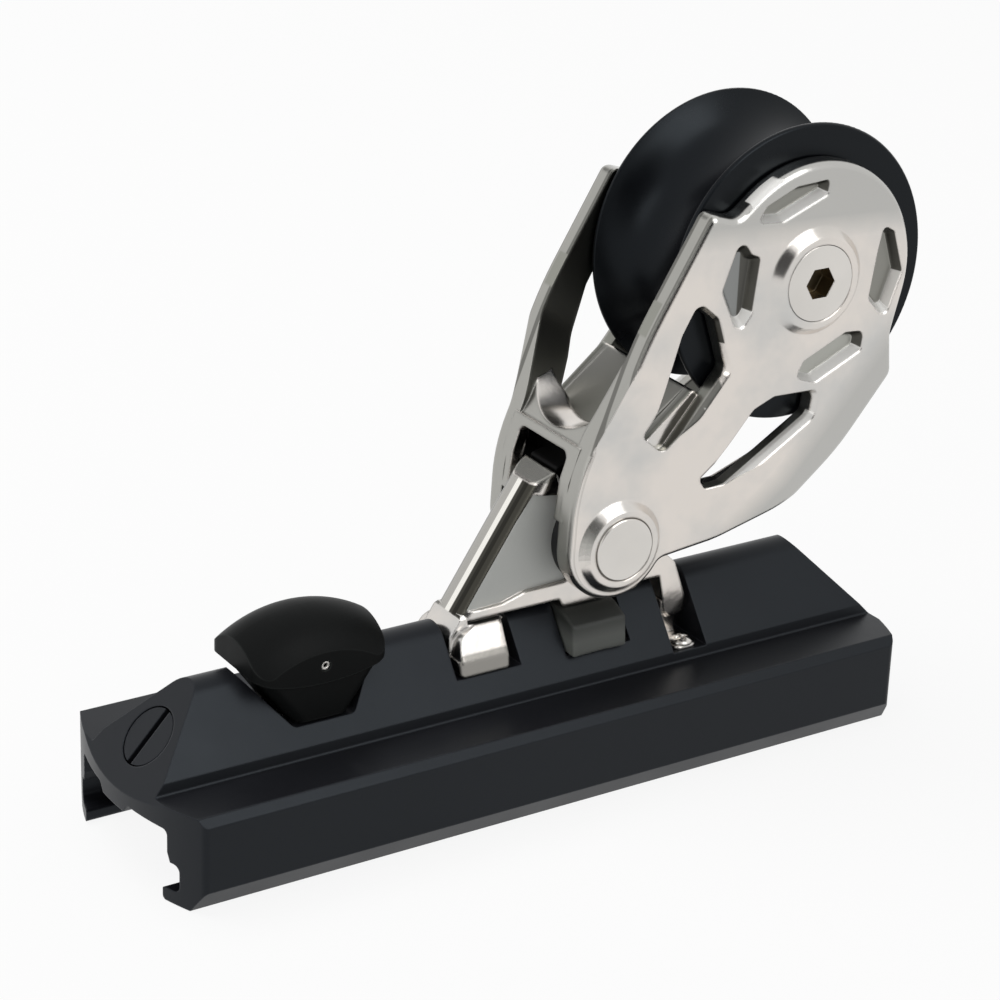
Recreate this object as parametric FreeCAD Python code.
import FreeCAD, Part
import math
import os

# Genoa car with a stand-up block, for a 32 mm T-track. Millimetres, Z up, X along the track.
# The origin is the middle of the channel's mouth, in the plane of the lips' bottoms.

os.makedirs("parts", exist_ok=True)
V = FreeCAD.Vector

# Clearances
seat_gap = 0.02
running_gap = 0.05
side_gap = 0.10
free_gap = 0.30
channel_gap = 0.15

# Track the car is made for
flange_half = 16.0
flange_thick = 3.0
web_half = 10.5

# Slide body
half_length = 71.3
half_width = 21.6
nose_radius = 50.0
end_corner_r = 1.2
chamfer_in = 2.75
chamfer_up = 3.9
shoulder_edge_z = 15.1
shoulder_z = 16.0
shoulder_bevel = 1.3
shoulder_step = 0.35
crease_z = 17.9
flank_angle = 52.5
ridge_r = 4.2
ridge_z = 28.8
lip_over_web = 2.9
lip_thick = 2.2
liner_thick = 0.7
wall_y = 14.4
ceiling_z = 12.3
rib_z = 10.8
rib_half = 3.5
nose_z = 14.0
ramp_angle = 47.2

# Knob and plunger
knob_from_end = 33.0
knob_length = 23.8
knob_width = 17.0
knob_corner_r = 3.0
dome_top = 37.4
dome_long_r = 22.5
dome_cross_r = 9.9
knob_under_z = 27.2
knob_under_r = 36.0
stem_foot_half = 5.0
stem_flare = 0.72
stem_half_y = 8.0
stem_top_z = 29.6
stem_foot_z = 20.9
pocket_gap = 0.45
pocket_flare = 0.86
knob_pin_r = 0.8
knob_pin_z = 30.2
knob_pin_half = 8.3
rod_r = 2.5
rod_top_z = 34.0
tip_r = 3.5
tip_z = 1.2
collar_r = 4.5
collar_z = 7.6
collar_thick = 1.4
guide_r = 6.0
guide_bore_r = 4.8
guide_wall = 2.2
plunger_wire_r = 0.35
plunger_coil_r = 3.7
plunger_turns = 4.0

# End screws in the ramps
end_screw_up = 9.2
end_screw_r = 5.0
end_screw_head = 2.6
end_screw_shank_r = 3.0
end_screw_length = 9.0
end_screw_slot = 1.2
end_screw_ring = 0.25
end_screw_sunk = 0.1

# Slots across the hump
slot_left = (-13.5, -1.1)
slot_middle = (7.6, 20.3)
slot_right = (27.8, 34.6)
claw_floor_z = 21.3
cushion_floor_z = 20.9
foot_floor_z = 17.7

# Stand bracket
strut_half = 4.4
strut_edge_r = 2.5
bracket_half = 5.7
claw_x = (-12.8, -3.2)
claw_half = 8.1
claw_knee_z = 27.0
claw_shoulder_z = 24.0
slit_x = (-9.4, -2.0)
slit_z = (28.9, 29.6)
foot_x = (28.5, 32.8)
foot_half = 10.1
foot_thick = 0.7
foot_neck_half = 4.4
cushion_x = (8.0, 18.6)
cushion_proud = 1.4
cushion_seat_z = 28.0
panel_depth = 0.9
bracket_screw_at = (30.65, 8.4)
bracket_screw_head_r = 1.9
bracket_screw_head = 1.1
bracket_screw_r = 1.1
bracket_screw_length = 4.8

# Block: pivot
pin_x = 13.8
pin_z = 41.2
pin_r = 4.0
pin_head_r = 5.4
pin_head_y = 14.3
pin_boss_y = 14.0
pin_boss_r = 6.6
pin_boss_foot_r = 8.0
bracket_boss_r = 7.4
bracket_boss_near_r = 6.6
washer_r = 8.8
bush_wall = 1.2
clip_thick = 0.8
clip_r = 5.6
spring_wire_r = 0.5
spring_coil_r = 5.3
spring_turns = 1.5

# Block: fork
fork_in_low = 8.5
fork_out_low = 12.5
fork_in_high = 12.2
fork_out_high = 15.8
fork_bend_start = 10.5
fork_bend_end = 25.0
fork_bend_r = 7.0
fork_edge_r = 1.3
fork_foot_r = 9.5
fork_head_r = 19.8
window_flare = 0.7
window_flare_depth = 1.1
axle_boss_y = 17.3
axle_boss_r = 7.7
axle_boss_foot_r = 9.2
pocket_depth = 1.8

# Block: sheave and its axle
sheave_x = 47.4
sheave_z = 82.4
sheave_r = 25.0
sheave_half = 11.7
flange_edge = 0.9
groove_r = 17.6
hub_r = 11.5
hub_half = 10.9
screw_head_r = 6.4
screw_head_flat = 0.6
screw_r = 4.0
hex_across = 5.0
hex_depth = 3.2
sleeve_wall = 1.6
sheave_bush_wall = 1.5
nut_across = 11.0
nut_thick = 3.6


# Helpers
def place(plane, a, b, c):
    if plane == "xz":
        return V(a, c, b)
    if plane == "yz":
        return V(c, a, b)
    return V(a, b, c)


def rounded_edges(points, plane, level):
    """Edges of a closed outline whose corners (a, b, radius) are rounded by tangent arcs."""
    ends = []
    count = len(points)
    for i in range(count):
        a, b = points[i][0], points[i][1]
        radius = points[i][2] if len(points[i]) > 2 else 0.0
        before = points[i - 1]
        after = points[(i + 1) % count]
        if radius == 0.0:
            ends.append(((a, b), None, (a, b)))
            continue
        ua, ub = before[0] - a, before[1] - b
        va, vb = after[0] - a, after[1] - b
        lu = math.hypot(ua, ub)
        lv = math.hypot(va, vb)
        ua, ub, va, vb = ua / lu, ub / lu, va / lv, vb / lv
        half = math.acos(ua * va + ub * vb) / 2
        cut = radius / math.tan(half)
        ma, mb = ua + va, ub + vb
        lm = math.hypot(ma, mb)
        reach = radius / math.sin(half) - radius
        middle = (a + ma / lm * reach, b + mb / lm * reach)
        ends.append(((a + ua * cut, b + ub * cut), middle, (a + va * cut, b + vb * cut)))
    edges = []
    for i in range(count):
        start, middle, end = ends[i]
        if middle is not None:
            three = [place(plane, q[0], q[1], level) for q in (start, middle, end)]
            edges.append(Part.Arc(*three).toShape())
        nxt = ends[(i + 1) % count][0]
        p = place(plane, end[0], end[1], level)
        q = place(plane, nxt[0], nxt[1], level)
        if p.distanceToPoint(q) > 1e-6:
            edges.append(Part.makeLine(p, q))
    return edges


def outline(points, plane, level):
    return Part.Wire(Part.__sortEdges__(rounded_edges(points, plane, level)))


def prism(points, plane, low, high):
    face = Part.Face(outline(points, plane, low))
    return face.extrude(place(plane, 0, 0, high - low))


def mirrored(points):
    """Right half of a symmetric outline, listed from the bottom up, closed on the left."""
    left = [(-p[0],) + tuple(p[1:]) for p in reversed(points) if abs(p[0]) > 1e-9]
    return list(points) + left


def inset(points, distance):
    """The same corners moved inward by a distance, with radii to match."""
    count = len(points)
    area = sum(points[i][0] * points[(i + 1) % count][1]
               - points[(i + 1) % count][0] * points[i][1] for i in range(count))
    turn = 1.0 if area > 0 else -1.0
    moved = []
    for i in range(count):
        p, q, r = points[i - 1], points[i], points[(i + 1) % count]
        d1 = (q[0] - p[0], q[1] - p[1])
        d2 = (r[0] - q[0], r[1] - q[1])
        l1, l2 = math.hypot(*d1), math.hypot(*d2)
        n1 = (-d1[1] / l1 * turn, d1[0] / l1 * turn)
        n2 = (-d2[1] / l2 * turn, d2[0] / l2 * turn)
        k = distance / (1 + n1[0] * n2[0] + n1[1] * n2[1])
        moved.append((q[0] + (n1[0] + n2[0]) * k, q[1] + (n1[1] + n2[1]) * k,
                      q[2] - distance * 0.5))
    return moved


def rod_y(x, z, r, y0, y1):
    return Part.makeCylinder(r, y1 - y0, V(x, y0, z), V(0, 1, 0))


def cone_y(x, z, r0, r1, y0, y1):
    return Part.makeCone(r0, r1, y1 - y0, V(x, y0, z), V(0, 1, 0))


def rod_z(x, y, r, z0, z1):
    return Part.makeCylinder(r, z1 - z0, V(x, y, z0), V(0, 0, 1))


def box(x0, x1, y0, y1, z0, z1):
    return Part.makeBox(x1 - x0, y1 - y0, z1 - z0, V(x0, y0, z0))


def hexagon(x, z, across, y0, y1):
    r = across / math.sqrt(3)
    corners = [(x + r * math.cos(math.radians(60 * i)), z + r * math.sin(math.radians(60 * i)))
               for i in range(6)]
    return prism(corners, "xz", y0, y1)


def other_side(shape):
    return shape.mirror(V(0, 0, 0), V(0, 1, 0))


def save(shape, node):
    shape.exportStep("parts/" + node + ".step")
    box_ = shape.BoundBox
    print(node, "solids", len(shape.Solids), "valid", shape.isValid(), "volume", round(shape.Volume, 1),
          "x", round(box_.XMin, 2), round(box_.XMax, 2), "y", round(box_.YMin, 2), round(box_.YMax, 2),
          "z", round(box_.ZMin, 2), round(box_.ZMax, 2))


# Slide body: section of the extrusion
knob_x = -(half_length - knob_from_end)
pocket_floor_z = stem_foot_z - 0.3
flank_slope = math.tan(math.radians(flank_angle))
apex_z = ridge_z + ridge_r * (1 / math.cos(math.radians(flank_angle)) - 1)
crease_y = (apex_z - crease_z) / flank_slope
lip_tip_y = web_half + lip_over_web
groove_y = flange_half + channel_gap + liner_thick + seat_gap
groove_low = lip_thick
groove_high = lip_thick + 2 * liner_thick + flange_thick + 2 * channel_gap + 2 * seat_gap


def flank_y(z):
    return (apex_z - z) / flank_slope


outer_half = [
    (half_width - chamfer_in, 0.0),
    (half_width, chamfer_up),
    (half_width, shoulder_edge_z, 0.4),
    (half_width - shoulder_bevel, shoulder_edge_z + shoulder_bevel, 0.4),
    (crease_y + shoulder_step, shoulder_z, 0.4),
    (crease_y, crease_z),
    (0.0, apex_z, ridge_r),
]
channel_half = [
    (lip_tip_y, 0.0, 0.7),
    (lip_tip_y, lip_thick, 0.4),
    (groove_y, groove_low, 1.2),
    (groove_y, groove_high, 1.2),
    (groove_y - 1.9, groove_high),
    (wall_y, groove_high + 1.6),
    (wall_y, ceiling_z, 1.0),
    (rib_half + 1.2, ceiling_z, 0.6),
    (rib_half, rib_z, 0.6),
]
left_channel = [(-p[0],) + tuple(p[1:]) for p in channel_half]
section = mirrored(outer_half) + left_channel + list(reversed(channel_half))
body = prism(section, "yz", -half_length - 1, half_length + 1)

nose_drop = nose_radius - math.sqrt(nose_radius ** 2 - half_width ** 2)
corner_x = half_length - nose_drop
plan_edges = [
    Part.Arc(V(corner_x, half_width, -1), V(half_length, 0, -1), V(corner_x, -half_width, -1)).toShape(),
    Part.makeLine(V(corner_x, -half_width, -1), V(-corner_x, -half_width, -1)),
    Part.Arc(V(-corner_x, -half_width, -1), V(-half_length, 0, -1), V(-corner_x, half_width, -1)).toShape(),
    Part.makeLine(V(-corner_x, half_width, -1), V(corner_x, half_width, -1)),
]
plan = Part.Face(Part.Wire(plan_edges)).extrude(V(0, 0, ridge_z + 3))
upright = [e for e in plan.Edges if abs(e.Vertexes[0].X - e.Vertexes[-1].X) < 1e-6
           and abs(e.Vertexes[0].Y - e.Vertexes[-1].Y) < 1e-6]
plan = plan.makeFillet(end_corner_r, upright)
body = body.common(plan)

ramp_slope = math.tan(math.radians(ramp_angle))
for side in (-1, 1):
    ramp = prism([(side * (half_length + 6), nose_z - 6 * ramp_slope),
                  (side * (half_length - 30), nose_z + 30 * ramp_slope),
                  (side * (half_length + 6), nose_z + 30 * ramp_slope)], "xz", -30, 30)
    body = body.cut(ramp)

# Slots for the bracket's claw, its cushion and its foot
body = body.cut(box(slot_left[0], slot_left[1], -30, 30, claw_floor_z, 40))
body = body.cut(box(slot_middle[0], slot_middle[1], -30, 30, cushion_floor_z, 40))
body = body.cut(box(slot_right[0], slot_right[1], -30, 30, foot_floor_z, 40))

# Pocket round the knob's stem
pocket_low = stem_foot_half + pocket_gap
pocket_high = pocket_low + (36 - pocket_floor_z) * pocket_flare
body = body.cut(prism([(knob_x - pocket_low, pocket_floor_z, 1.6), (knob_x + pocket_low, pocket_floor_z, 1.6),
                       (knob_x + pocket_high, 36), (knob_x - pocket_high, 36)], "xz", -30, 30))
body = body.cut(rod_z(knob_x, 0, guide_r + seat_gap, 5, pocket_floor_z + 1))

# Holes for the end screws, square to the ramps
ramp_cos = math.cos(math.radians(ramp_angle))
ramp_sin = math.sin(math.radians(ramp_angle))
end_screw_x = half_length - end_screw_up * ramp_cos
end_screw_z = nose_z + end_screw_up * ramp_sin
for side in (-1, 1):
    inward = V(-side * ramp_sin, 0, -ramp_cos)
    start = V(side * end_screw_x, 0, end_screw_z)
    ring_r = end_screw_r + end_screw_ring
    body = body.cut(Part.makeCylinder(ring_r, end_screw_head + 3, start - inward * 3, inward))
    body = body.cut(Part.makeCylinder(end_screw_shank_r + seat_gap, end_screw_length + 0.4, start, inward))

# Holes for the bracket's screws in the floor of the right slot
for side in (-1, 1):
    body = body.cut(rod_z(bracket_screw_at[0], side * bracket_screw_at[1], bracket_screw_r + seat_gap,
                          foot_floor_z - bracket_screw_length - 0.3, 20))
save(body, "slide_body")

# Track liners: C-strips that line the grooves
liner_low = groove_low + seat_gap
liner_high = groove_high - seat_gap
liner_out = groove_y - seat_gap
liner_end = corner_x - 3.0
liner_points = [
    (lip_tip_y + 0.9, liner_low, 0.2),
    (liner_out, liner_low, 1.2),
    (liner_out, liner_high, 1.2),
    (groove_y - 1.8, liner_high, 0.2),
    (groove_y - 1.8, liner_high - liner_thick, 0.2),
    (liner_out - liner_thick, liner_high - liner_thick, 0.4),
    (liner_out - liner_thick, liner_low + liner_thick, 0.4),
    (lip_tip_y + 0.9, liner_low + liner_thick, 0.2),
]
liner = prism(liner_points, "yz", -liner_end, liner_end)
save(liner, "track_liner_far")
save(other_side(liner), "track_liner_near")

# End screws: slotted heads flush with the ramps
for side, node in ((-1, "end_screw_left"), (1, "end_screw_right")):
    inward = V(-side * ramp_sin, 0, -ramp_cos)
    start = V(side * end_screw_x, 0, end_screw_z)
    head_length = end_screw_head - end_screw_sunk - seat_gap
    head = Part.makeCylinder(end_screw_r, head_length, start + inward * end_screw_sunk, inward)
    shank = Part.makeCylinder(end_screw_shank_r, end_screw_length, start + inward * end_screw_sunk, inward)
    up_ramp = V(-side * ramp_cos, 0, ramp_sin)
    slot = Part.makeBox(2 * end_screw_r + 2, end_screw_slot, 1.6 + 0.5)
    slot.translate(V(-end_screw_r - 1, -end_screw_slot / 2, -1.6))
    turn = FreeCAD.Matrix()
    across = V(0, 1, 0)
    outward = inward * -1
    turn.A11, turn.A21, turn.A31 = up_ramp.x, up_ramp.y, up_ramp.z
    turn.A12, turn.A22, turn.A32 = across.x, across.y, across.z
    if up_ramp.cross(across).dot(outward) < 0:
        turn.A12, turn.A22, turn.A32 = -across.x, -across.y, -across.z
    turn.A13, turn.A23, turn.A33 = outward.x, outward.y, outward.z
    slot = slot.transformed(turn)
    slot.translate(start + inward * end_screw_sunk)
    save(head.fuse(shank).removeSplitter().cut(slot), node)

# Stop knob: domed cap on a stem that flares upward
hx = knob_length / 2
hy = knob_width / 2


def knob_ring(half_x, half_y, r, z):
    return outline([(knob_x - half_x, -half_y, r), (knob_x + half_x, -half_y, r),
                    (knob_x + half_x, half_y, r), (knob_x - half_x, half_y, r)], "xy", z)


cap = Part.Face(knob_ring(hx, hy, knob_corner_r, 20)).extrude(V(0, 0, dome_top - 18))
under = rod_y(knob_x, knob_under_z + knob_under_r, knob_under_r, -30, 30)
cap = cap.common(under)
dome = Part.makeTorus(dome_long_r - dome_cross_r, dome_cross_r, V(knob_x, 0, dome_top - dome_long_r), V(0, 1, 0))
cap = cap.common(dome)


def stem_half(z):
    return stem_foot_half + (z - stem_foot_z) * stem_flare


stem = Part.makeLoft([knob_ring(stem_half(stem_foot_z), stem_half_y, 2.2, stem_foot_z),
                      knob_ring(stem_half(stem_top_z), stem_half_y, 2.2, stem_top_z)], True)
knob = cap.fuse(stem).removeSplitter()
knob = knob.cut(rod_z(knob_x, 0, rod_r + seat_gap, 10, rod_top_z + seat_gap))
knob = knob.cut(rod_y(knob_x, knob_pin_z, knob_pin_r + seat_gap, -20, 20))
save(knob, "stop_knob")
roll_pin = rod_y(knob_x, knob_pin_z, knob_pin_r, -knob_pin_half, knob_pin_half)
roll_pin = roll_pin.cut(rod_y(knob_x, knob_pin_z, knob_pin_r * 0.5, -20, 20))
save(roll_pin, "knob_roll_pin")

# Plunger that drops into the track's holes
plunger = rod_z(knob_x, 0, rod_r, collar_z, rod_top_z)
plunger = plunger.fuse(rod_z(knob_x, 0, collar_r, collar_z, collar_z + collar_thick))
tip = rod_z(knob_x, 0, tip_r, tip_z, collar_z)
tip = tip.makeChamfer(0.8, [e for e in tip.Edges if abs(e.BoundBox.ZMax - tip_z) < 1e-6])
plunger = plunger.fuse(tip).removeSplitter()
plunger = plunger.cut(rod_y(knob_x, knob_pin_z, knob_pin_r + seat_gap, -20, 20))
save(plunger, "plunger")

# Guide pressed into the body from below
guide_top = pocket_floor_z - seat_gap
guide_roof = guide_top - guide_wall
guide = rod_z(knob_x, 0, guide_r, ceiling_z - 1.0, guide_top)
guide = guide.cut(rod_z(knob_x, 0, guide_bore_r, ceiling_z - 2, guide_roof))
guide = guide.cut(rod_z(knob_x, 0, rod_r + running_gap, guide_roof - 1, guide_top + 1))
save(guide, "plunger_guide")


def coil(radius, wire_r, turns, height):
    """A round wire wound up the Z axis, its centre line rising from zero to the height."""
    helix = Part.makeHelix(height / turns, height, radius)
    circle = Part.Wire(Part.makeCircle(wire_r, V(radius, 0, 0), V(0, 1, 0)))
    pipe = Part.Wire(helix).makePipeShell([circle], True, True)
    return pipe


spring_low = collar_z + collar_thick
spring_high = guide_roof
spring = coil(plunger_coil_r, plunger_wire_r, plunger_turns,
              spring_high - spring_low - 2 * (plunger_wire_r + seat_gap))
spring.translate(V(knob_x, 0, spring_low + plunger_wire_r + seat_gap))
save(spring, "plunger_spring")

# Stand bracket: strut, claw, leg, foot and boss in one casting
claw_bottom = claw_floor_z + seat_gap
foot_bottom = foot_floor_z + seat_gap
foot_top = foot_bottom + foot_thick
tab_front = (2.6, 50.7)
tab_back_high = (6.4, 52.8)
tab_back_low = (7.5, 49.4)
side_outline = [
    (claw_x[0], claw_knee_z),
    tab_front,
    (tab_back_high[0], tab_back_high[1], 0.5),
    (tab_back_low[0], tab_back_low[1], 0.6),
    (16.6, 48.1),
    (22.0, 40.6, 4.0),
    (31.4, 31.4, 2.0),
    (34.1, 24.0, 2.0),
    (33.2, 21.2, 1.2),
    (30.0, 21.6, 1.2),
    (28.4, 29.4, 0.3),
    (cushion_x[1] + 1.8, 29.4, 0.5),
    (cushion_x[1] + 0.3, cushion_seat_z, 0.6),
    (cushion_x[0] + 0.9, cushion_seat_z, 0.5),
    (cushion_x[0] + 0.1, 29.6, 0.5),
    (claw_x[1] + 0.6, 29.6, 0.4),
    (claw_x[1], 28.4, 0.4),
    (claw_x[1], 25.0),
    (claw_x[0], 25.0),
]
bracket = prism(side_outline, "xz", -strut_half, strut_half)
strut_edges = [e for e in bracket.Edges if abs(abs(e.CenterOfMass.y) - strut_half) < 1e-6
               and abs(e.CenterOfMass.x - (claw_x[0] + tab_front[0]) / 2) < 0.5
               and abs(e.CenterOfMass.z - (claw_knee_z + tab_front[1]) / 2) < 0.5]
bracket = bracket.makeFillet(strut_edge_r, strut_edges)
bracket = bracket.fuse([rod_y(pin_x, pin_z, bracket_boss_r, 0, bracket_half),
                        rod_y(pin_x, pin_z, bracket_boss_near_r, -bracket_half, 0)])
panel = [(-10.1, 31.0, 0.6), (-2.9, 31.2, 2.0), (1.2, 32.4, 2.0), (9.0, 32.6, 2.0), (16.0, 35.6), (16.0, 46.8),
         (8.2, 48.4, 1.0), (2.5, 49.2, 0.6)]
for side, boss_r in ((-1, bracket_boss_near_r), (1, bracket_boss_r)):
    cut = prism(panel, "xz", side * strut_half - panel_depth, side * strut_half + panel_depth)
    cut = cut.cut(rod_y(pin_x, pin_z, boss_r + 0.2, -20, 20))
    bracket = bracket.cut(cut)
claw_points = mirrored([
    (claw_half, claw_bottom, 0.4),
    (claw_half - 0.4, 23.8, 2.0),
    (strut_half + 0.8, 28.4, 1.0),
    (strut_half - panel_depth, 30.4),
])
claw = prism(claw_points, "yz", claw_x[0], claw_x[1])
claw_ends = [e for e in claw.Edges if abs(e.BoundBox.XMin - e.BoundBox.XMax) < 1e-6
             and abs(e.CenterOfMass.y) > 5.0 and e.BoundBox.ZMax > claw_bottom + 1.5]
claw = claw.makeFillet(0.8, claw_ends)
front_run = (tab_front[0] - claw_x[0], tab_front[1] - claw_knee_z)
claw = claw.cut(prism([(claw_x[0] - 5, claw_knee_z), (claw_x[0], claw_knee_z),
                       (claw_x[0] + 0.5 * front_run[0], claw_knee_z + 0.5 * front_run[1]),
                       (claw_x[0] - 5, claw_knee_z + 0.5 * front_run[1])], "xz", -20, 20))
claw_corner = [(claw_x[0] - 2.0, claw_shoulder_z), (claw_x[0] + 0.3, claw_shoulder_z),
               (claw_x[0] + 0.9, claw_shoulder_z + 3.3, 2.4), (claw_x[0] + 4.6, claw_shoulder_z + 5.0),
               (claw_x[0] + 4.6, claw_shoulder_z + 9.0), (claw_x[0] - 2.0, claw_shoulder_z + 9.0)]
for side in (-1, 1):
    near_y, far_y = sorted((side * (strut_half - 0.4), side * 20.0))
    claw = claw.cut(prism(claw_corner, "xz", near_y, far_y))
bracket = bracket.fuse(claw)
for side in (-1, 1):
    slit_in = side * (strut_half - 1.0)
    slit_out = side * (claw_half + 1)
    slit_low, slit_high = sorted((slit_in, slit_out))
    bracket = bracket.cut(box(slit_x[0], slit_x[1], slit_low, slit_high, slit_z[0], slit_z[1]))
foot = box(foot_x[0], foot_x[1], -foot_half, foot_half, foot_bottom, foot_top)
foot_corners = [e for e in foot.Edges if abs(e.Vertexes[0].Z - e.Vertexes[-1].Z) > 0.1]
foot = foot.makeFillet(1.2, foot_corners)
neck = box(foot_x[0] + 0.6, foot_x[1] - 0.4, -foot_neck_half + 0.3, foot_neck_half - 0.3, foot_bottom + 0.1, 24.5)
bracket = bracket.fuse([foot, neck]).removeSplitter()
bush_r = pin_r + running_gap + bush_wall
bracket = bracket.cut(rod_y(pin_x, pin_z, bush_r + seat_gap, -20, 20))
hook_rise = 3.7
hook_low_y = bracket_half - 2.0
bracket = bracket.cut(rod_y(pin_x + spring_coil_r, pin_z + hook_rise, spring_wire_r + seat_gap,
                            hook_low_y - 0.1, 20))
for side in (-1, 1):
    screw_y = side * bracket_screw_at[1]
    bracket = bracket.cut(rod_z(bracket_screw_at[0], screw_y, bracket_screw_r + seat_gap, 15, 20))
save(bracket, "stand_bracket")

# Bracket screws with domed heads and cross recesses
for side, node in ((-1, "bracket_screw_near"), (1, "bracket_screw_far")):
    x, y = bracket_screw_at[0], side * bracket_screw_at[1]
    head_low = foot_top + seat_gap
    head = rod_z(x, y, bracket_screw_head_r, head_low, head_low + bracket_screw_head)
    ball_r = 3.0
    head = head.common(Part.makeSphere(ball_r, V(x, y, head_low + bracket_screw_head - ball_r)))
    shank = rod_z(x, y, bracket_screw_r, foot_floor_z - bracket_screw_length, head_low + 0.3)
    screw = head.fuse(shank).removeSplitter()
    for along, across in ((1.1, 0.22), (0.22, 1.1)):
        screw = screw.cut(box(x - along, x + along, y - across, y + across, head_low + 0.5, head_low + 3))
    save(screw, node)

# Cushion under the bracket
cushion_bottom = cushion_floor_z + seat_gap
cushion_side = flank_y(cushion_bottom) + cushion_proud
cushion_top = cushion_seat_z - seat_gap
cushion = prism(mirrored([(cushion_side, cushion_bottom), (cushion_side - 0.5, cushion_top - 1.6, 1.0),
                          (strut_half + 0.2, cushion_top, 0.8)]), "yz", cushion_x[0], cushion_x[1])
save(cushion, "bracket_cushion")

# Pivot bush, washer, spring, clip and pin
bush = rod_y(pin_x, pin_z, bush_r, -bracket_half, bracket_half)
bush = bush.cut(rod_y(pin_x, pin_z, pin_r + running_gap, -20, 20))
save(bush, "pivot_bush")
washer = rod_y(pin_x, pin_z, washer_r, -fork_in_low + seat_gap, -bracket_half - side_gap)
washer = washer.cut(rod_y(pin_x, pin_z, pin_r + running_gap, -20, 20))
save(washer, "pivot_washer_near")

# Fork: two cheeks with an S-bend, a crossbar in front and a web behind
reach = math.hypot(sheave_x - pin_x, sheave_z - pin_z)
lean = (sheave_x - pin_x) / reach
rise = (sheave_z - pin_z) / reach
bend_points = [
    (-16.0, fork_in_low),
    (-16.0, fork_out_low),
    (fork_bend_start, fork_out_low, fork_bend_r + 3),
    (fork_bend_end - 1.0, fork_out_high, fork_bend_r),
    (90.0, fork_out_high),
    (90.0, fork_in_high),
    (fork_bend_end, fork_in_high, fork_bend_r),
    (fork_bend_start + 1.0, fork_in_low, fork_bend_r + 3),
]
bend_face = Part.Face(outline(bend_points, "xy", 0.0))
to_fork = FreeCAD.Matrix(lean, 0, -rise, pin_x, 0, 1, 0, 0, rise, 0, lean, pin_z, 0, 0, 0, 1)
slab = bend_face.extrude(V(0, 0, 60))
slab.translate(V(0, 0, -30))
slab = slab.transformed(to_fork)
foot_left_x = 4.7
foot_left_z = 52.0
foot_left_reach = math.hypot(foot_left_x - pin_x, foot_left_z - pin_z)
foot_left_angle = (math.degrees(math.atan2(foot_left_z - pin_z, foot_left_x - pin_x))
                   + math.degrees(math.acos(fork_foot_r / foot_left_reach)))
foot_join_angle = 325.0
foot_join_run = 1.35
foot_join_cos = math.cos(math.radians(foot_join_angle))
foot_join_sin = math.sin(math.radians(foot_join_angle))
foot_join_x = pin_x + fork_foot_r * foot_join_cos - foot_join_run * foot_join_sin
foot_join_z = pin_z + fork_foot_r * foot_join_sin + foot_join_run * foot_join_cos


def foot_corner(first, last):
    """Corner whose rounding is an arc of the fork's foot, round the pin."""
    middle = math.radians((first + last) / 2)
    far = fork_foot_r / math.cos(math.radians((last - first) / 2))
    return (pin_x + far * math.cos(middle), pin_z + far * math.sin(middle), fork_foot_r)


# The head keeps together with the sheave, so its points are measured from the axle.
head_tip = (sheave_x - 21.1, sheave_z + 14.1)
head_valley = (sheave_x - 16.0, sheave_z + 12.5)
head_heel = (sheave_x + 17.4, sheave_z - 11.9)
under_heel = (sheave_x + 18.2, sheave_z - 19.2)


def tangent_angle(point, side):
    """Direction from the axle in which the head's arc leaves for a point outside it."""
    off_x = point[0] - sheave_x
    off_z = point[1] - sheave_z
    return math.degrees(math.atan2(off_z, off_x) + side * math.acos(fork_head_r / math.hypot(off_x, off_z)))


def head_corner(first, last):
    """Corner whose rounding is an arc of the fork's head, round the sheave's axle."""
    middle = math.radians((first + last) / 2)
    far = fork_head_r / math.cos(math.radians((last - first) / 2))
    return (sheave_x + far * math.cos(middle), sheave_z + far * math.sin(middle), fork_head_r)


cheek_points = [
    (head_tip[0], head_tip[1], 1.6),
    (head_valley[0], head_valley[1], 3.0),
    head_corner(tangent_angle(head_valley, -1), 60.0),
    head_corner(60.0, 0.0),
    head_corner(0.0, tangent_angle(head_heel, 1)),
    (head_heel[0], head_heel[1], 5.0),
    (under_heel[0], under_heel[1], 2.5),
    (55.7, 51.3, 40.0),
    (45.0, 42.8, 18.0),
    (33.6, 38.0, 12.0),
    (foot_join_x, foot_join_z, 2.2),
    foot_corner(270.0, foot_join_angle),
    foot_corner(foot_left_angle, 270.0),
    (foot_left_x, foot_left_z, 30.0),
    (9.4, 63.2, 40.0),
    (14.3, 76.4, 60.0),
]
cheek_prism = prism(cheek_points, "xz", 0, 30)
cheek = slab.common(cheek_prism)
across_fork = V(-rise, 0, lean)
outer_edges = []
for e in cheek.Edges:
    first = e.valueAt(e.FirstParameter)
    last = e.valueAt(e.LastParameter)
    if min(first.y, last.y) < fork_out_low - 0.01:
        continue
    chord = (last - first).normalize()
    if abs(chord.dot(across_fork)) > 0.99999:
        continue
    outer_edges.append(e)
cheek = cheek.makeFillet(fork_edge_r, outer_edges)
pin_boss = cone_y(pin_x, pin_z, pin_boss_foot_r, pin_boss_r, fork_out_low - seat_gap, pin_boss_y)
axle_boss = cone_y(sheave_x, sheave_z, axle_boss_foot_r, axle_boss_r, fork_out_high - seat_gap, axle_boss_y)
cheek = cheek.fuse([pin_boss, axle_boss]).removeSplitter()

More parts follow.
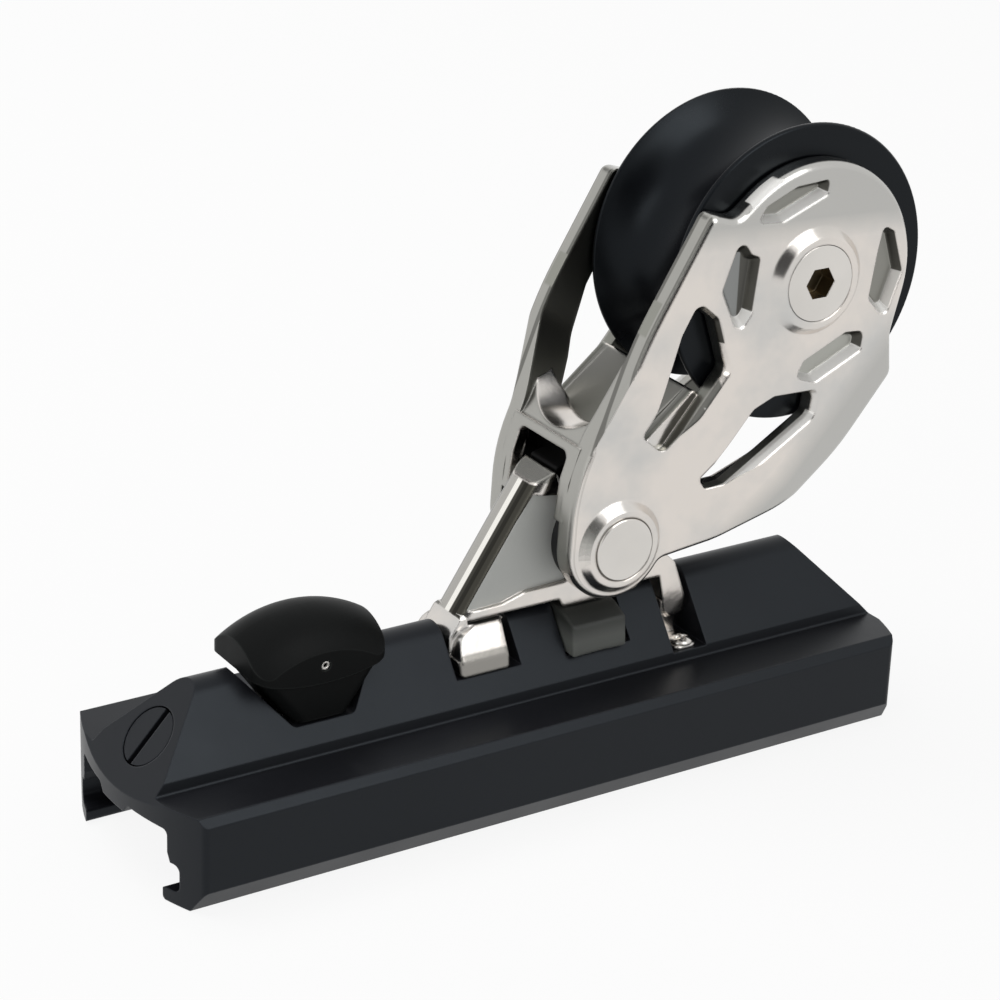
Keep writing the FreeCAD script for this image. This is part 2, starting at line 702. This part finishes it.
left_window = [(16.2, 60.2, 1.2), (18.4, 65.2, 3.0), (22.0, 77.0, 2.5), (24.6, 81.6, 1.4), (28.2, 78.6, 1.6),
               (31.2, 69.6, 1.8), (20.4, 56.6, 1.4)]
low_window = [(28.0, 50.6, 1.0), (37.2, 61.4, 2.0), (41.0, 62.9, 1.6), (49.6, 62.6, 1.2), (49.0, 58.6, 2.0),
              (33.0, 49.0, 1.4), (29.4, 48.6, 0.8)]
for window in (left_window, low_window):
    cheek = cheek.cut(prism(window, "xz", 0, 30))
    rim = outline(inset(window, -window_flare - 0.1), "xz", fork_out_high + 0.15)
    throat = outline(inset(window, 0.05), "xz", fork_out_high - window_flare_depth)
    cheek = cheek.cut(Part.makeLoft([rim, throat], True))
top_pocket = [(34.9, 93.8, 0.8), (36.7, 96.4, 0.8), (42.5, 98.9, 1.5), (49.2, 99.3, 0.8), (48.8, 96.8, 0.8),
              (40.0, 93.4, 1.5)]
left_pocket = [(32.0, 92.2, 1.4), (34.4, 88.8, 0.6), (36.2, 88.0, 0.8), (35.2, 79.0, 1.2), (32.6, 75.2, 1.4),
               (28.8, 83.4, 1.5)]
right_pocket = [(61.1, 89.8, 0.9), (63.5, 88.4, 0.8), (65.8, 81.4, 1.0), (62.8, 73.2, 1.2), (59.0, 77.4, 1.2),
                (60.2, 85.7, 1.5)]
low_pocket = [(45.0, 65.9, 1.0), (46.4, 68.6, 1.0), (54.8, 72.3, 1.4), (58.8, 71.9, 1.3), (58.4, 68.6, 1.0),
              (49.0, 64.4, 1.5)]
for pocket in (top_pocket, left_pocket, right_pocket, low_pocket):
    rim = outline(inset(pocket, -0.3), "xz", fork_out_high + 0.3)
    floor = outline(inset(pocket, pocket_depth * 0.55), "xz", fork_out_high - pocket_depth)
    cutter = Part.makeLoft([rim, floor], True)
    cheek = cheek.cut(cutter)

crossbar_points = [(6.7, 57.0, 0.6), (12.4, 57.0, 1.0), (15.4, 60.6, 0.8), (14.6, 64.6, 0.8), (11.6, 63.6, 0.8)]
trough_r = 13.0
trough_low = 59.0
opening_half = 7.0
bar = prism(crossbar_points, "xz", -10.6, 10.6)
bar = bar.cut(Part.makeCylinder(trough_r, 40, V(-5, 0, trough_low + trough_r), V(1, 0, 0)))
frame_front = [(4.4, 45.8, 0.3), (5.1, 45.8, 0.3), (6.4, 48.8), (7.6, 52.4), (9.6, 58.4), (7.2, 58.4), (5.2, 52.6)]
surround = prism(frame_front, "xz", -9.6, 9.6)
opening = [(-opening_half, 40), (opening_half, 40), (opening_half, 57.0, 1.5), (-opening_half, 57.0, 1.5)]
surround = surround.cut(prism(opening, "yz", -5, 30))
bar = bar.fuse(surround)
back_run = (tab_back_low[0] - tab_back_high[0], tab_back_low[1] - tab_back_high[1])
back_length = math.hypot(*back_run)
back_off = (-back_run[1] / back_length * free_gap, back_run[0] / back_length * free_gap)
nose_high = (tab_back_high[0] + back_off[0] - 0.05 * back_run[0],
             tab_back_high[1] + back_off[1] - 0.05 * back_run[1])
nose_low = (tab_back_high[0] + back_off[0] + 0.82 * back_run[0],
            tab_back_high[1] + back_off[1] + 0.82 * back_run[1])
nose_points = [(nose_high[0], nose_high[1], 0.5), (nose_low[0], nose_low[1], 0.5), (12.6, 51.0), (12.6, 54.4)]
nose = prism(nose_points, "xz", -strut_half + 0.6, strut_half - 0.6)
web_points = [(11.6, 50.4, 0.6), (16.2, 53.6, 6.0), (28.6, 63.8, 0.8), (26.6, 66.4, 0.8), (13.0, 56.2, 6.0),
              (11.2, 53.4, 0.6)]
web = prism(web_points, "xz", -fork_in_low - 2.4, fork_in_low + 2.4).fuse(nose)
upper_web = [(18.0, 55.2), (28.6, 63.8, 0.8), (26.6, 66.4, 0.8), (16.2, 57.8)]
web = web.fuse(prism(upper_web, "xz", -fork_in_high - 0.6, fork_in_high + 0.6))
fork = cheek.fuse([other_side(cheek), bar, web]).removeSplitter()

# Bores and seats of the pivot pin
fork = fork.cut(rod_y(pin_x, pin_z, pin_r + seat_gap, -30, 30))
fork = fork.cut(rod_y(pin_x, pin_z, pin_head_r + 0.15, -30, -fork_out_low))
clip_seat_y = pin_boss_y - 0.6
fork = fork.cut(rod_y(pin_x, pin_z, clip_r + 0.15, clip_seat_y, 30))

# Bores and seats of the axle: cone seat on the near side, hexagon pocket on the far side
cone_drop = screw_head_r - screw_r
fork = fork.cut(rod_y(sheave_x, sheave_z, screw_r + seat_gap, -30, 30))
fork = fork.cut(rod_y(sheave_x, sheave_z, screw_head_r + 0.12, -30, -axle_boss_y + screw_head_flat))
fork = fork.cut(cone_y(sheave_x, sheave_z, screw_head_r + 0.12, screw_r + seat_gap,
                       -axle_boss_y + screw_head_flat, -axle_boss_y + screw_head_flat + cone_drop))
nut_seat_y = axle_boss_y - nut_thick
fork = fork.cut(hexagon(sheave_x, sheave_z, nut_across + 2 * seat_gap, nut_seat_y, 30))
save(fork, "fork")

# Pivot pin with its head in the near cheek and a ring groove on the far side
pin_end = clip_seat_y + 2.2
pin = rod_y(pin_x, pin_z, pin_r, -pin_head_y, pin_end)
pin_head = rod_y(pin_x, pin_z, pin_head_r, -pin_head_y, -fork_out_low - seat_gap)
pin_head = pin_head.makeFillet(0.35, [e for e in pin_head.Edges if abs(e.BoundBox.YMin + pin_head_y) < 1e-6
                                      and abs(e.BoundBox.YMax + pin_head_y) < 1e-6])
pin = pin.fuse(pin_head).removeSplitter()
pin = pin.makeChamfer(0.4, [e for e in pin.Edges if abs(e.CenterOfMass.y - pin_end) < 1e-6])
clip_low = clip_seat_y + seat_gap
ring_depth = 0.8
groove = rod_y(pin_x, pin_z, pin_r + 1, clip_low, clip_low + clip_thick + 0.04)
groove = groove.cut(rod_y(pin_x, pin_z, pin_r - ring_depth, 0, 30))
pin = pin.cut(groove)
save(pin, "pivot_pin")

# Retaining clip: open ring in the pin's groove
clip = rod_y(pin_x, pin_z, clip_r, clip_low + 0.01, clip_low + clip_thick)
clip = clip.cut(rod_y(pin_x, pin_z, pin_r - ring_depth + seat_gap, 0, 30))
clip = clip.cut(box(pin_x - 2.2, pin_x + 2.2, 0, 30, pin_z - 12, pin_z))
save(clip, "pivot_clip")

# Stand-up spring round the pin in the far gap, one leg on the bracket and one on the fork
gap_middle = (bracket_half + fork_in_low) / 2
turns_height = (fork_in_low - bracket_half) - 2 * spring_wire_r - 0.24
stand_spring = coil(spring_coil_r, spring_wire_r, spring_turns, turns_height)
spring_turn = FreeCAD.Matrix(1, 0, 0, 0, 0, 0, 1, 0, 0, -1, 0, 0, 0, 0, 0, 1)
stand_spring = stand_spring.transformed(spring_turn)
stand_spring.translate(V(pin_x, gap_middle - turns_height / 2, pin_z))
leg_low_y = gap_middle - turns_height / 2
leg_high_y = gap_middle + turns_height / 2
leg_a = Part.makeCylinder(spring_wire_r, hook_rise, V(pin_x + spring_coil_r, leg_low_y, pin_z), V(0, 0, 1))
leg_b = Part.makeCylinder(spring_wire_r, 7.0, V(pin_x - spring_coil_r, leg_high_y, pin_z), V(0, 0, 1))
knee = Part.makeSphere(spring_wire_r, V(pin_x + spring_coil_r, leg_low_y, pin_z + hook_rise))
hook = rod_y(pin_x + spring_coil_r, pin_z + hook_rise, spring_wire_r, hook_low_y, leg_low_y)
stand_spring = stand_spring.fuse([leg_a, leg_b, knee, hook]).removeSplitter()
save(stand_spring, "stand_up_spring")

# Sheave: hourglass groove, hub recess and bush
rim = sheave_half
bush_out = screw_r + running_gap + sleeve_wall + running_gap + sheave_bush_wall
face_r = sheave_r - 0.3
crest_r = sheave_r - 0.05
lip = rim - flange_edge
profile = [
    Part.makeLine(V(bush_out, -hub_half, 0), V(hub_r, -hub_half, 0)),
    Part.makeLine(V(hub_r, -hub_half, 0), V(hub_r + 0.8, -rim, 0)),
    Part.makeLine(V(hub_r + 0.8, -rim, 0), V(face_r, -rim, 0)),
    Part.Arc(V(face_r, -rim, 0), V(crest_r, 0.25 - rim, 0), V(sheave_r, -lip, 0)).toShape(),
    Part.Arc(V(sheave_r, -lip, 0), V(groove_r, 0, 0), V(sheave_r, lip, 0)).toShape(),
    Part.Arc(V(sheave_r, lip, 0), V(crest_r, rim - 0.25, 0), V(face_r, rim, 0)).toShape(),
    Part.makeLine(V(face_r, rim, 0), V(hub_r + 0.8, rim, 0)),
    Part.makeLine(V(hub_r + 0.8, rim, 0), V(hub_r, hub_half, 0)),
    Part.makeLine(V(hub_r, hub_half, 0), V(bush_out, hub_half, 0)),
    Part.makeLine(V(bush_out, hub_half, 0), V(bush_out, -hub_half, 0)),
]
sheave = Part.Face(Part.Wire(profile)).revolve(V(0, 0, 0), V(0, 1, 0), 360)
sheave.translate(V(sheave_x, 0, sheave_z))
save(sheave, "sheave")
bush_in = screw_r + running_gap + sleeve_wall + running_gap
sheave_bush = rod_y(sheave_x, sheave_z, bush_out - seat_gap, -hub_half, hub_half)
sheave_bush = sheave_bush.cut(rod_y(sheave_x, sheave_z, bush_in, -30, 30))
save(sheave_bush, "sheave_bush")
sleeve_out = screw_r + running_gap + sleeve_wall
sleeve = rod_y(sheave_x, sheave_z, sleeve_out, -fork_in_high + seat_gap, fork_in_high - seat_gap)
sleeve = sleeve.cut(rod_y(sheave_x, sheave_z, screw_r + running_gap, -30, 30))
save(sleeve, "axle_sleeve")
thrust = rod_y(sheave_x, sheave_z, hub_r - 0.6, hub_half + side_gap, fork_in_high - seat_gap)
thrust = thrust.cut(rod_y(sheave_x, sheave_z, screw_r + running_gap + sleeve_wall + running_gap, -30, 30))
save(thrust, "thrust_washer_far")
save(other_side(thrust), "thrust_washer_near")

# Axle screw with a hexagon socket, and its nut
screw_end = axle_boss_y - 0.3
axle = rod_y(sheave_x, sheave_z, screw_head_r, -axle_boss_y, -axle_boss_y + screw_head_flat)
axle = axle.fuse(cone_y(sheave_x, sheave_z, screw_head_r, screw_r, -axle_boss_y + screw_head_flat,
                        -axle_boss_y + screw_head_flat + cone_drop))
axle = axle.fuse(rod_y(sheave_x, sheave_z, screw_r, -axle_boss_y + screw_head_flat, screw_end)).removeSplitter()
axle = axle.cut(hexagon(sheave_x, sheave_z, hex_across, -axle_boss_y - 1, -axle_boss_y + hex_depth))
save(axle, "axle_screw")
nut = hexagon(sheave_x, sheave_z, nut_across, nut_seat_y + seat_gap, axle_boss_y)
nut = nut.cut(rod_y(sheave_x, sheave_z, screw_r + seat_gap, -30, 30))
save(nut, "axle_nut")
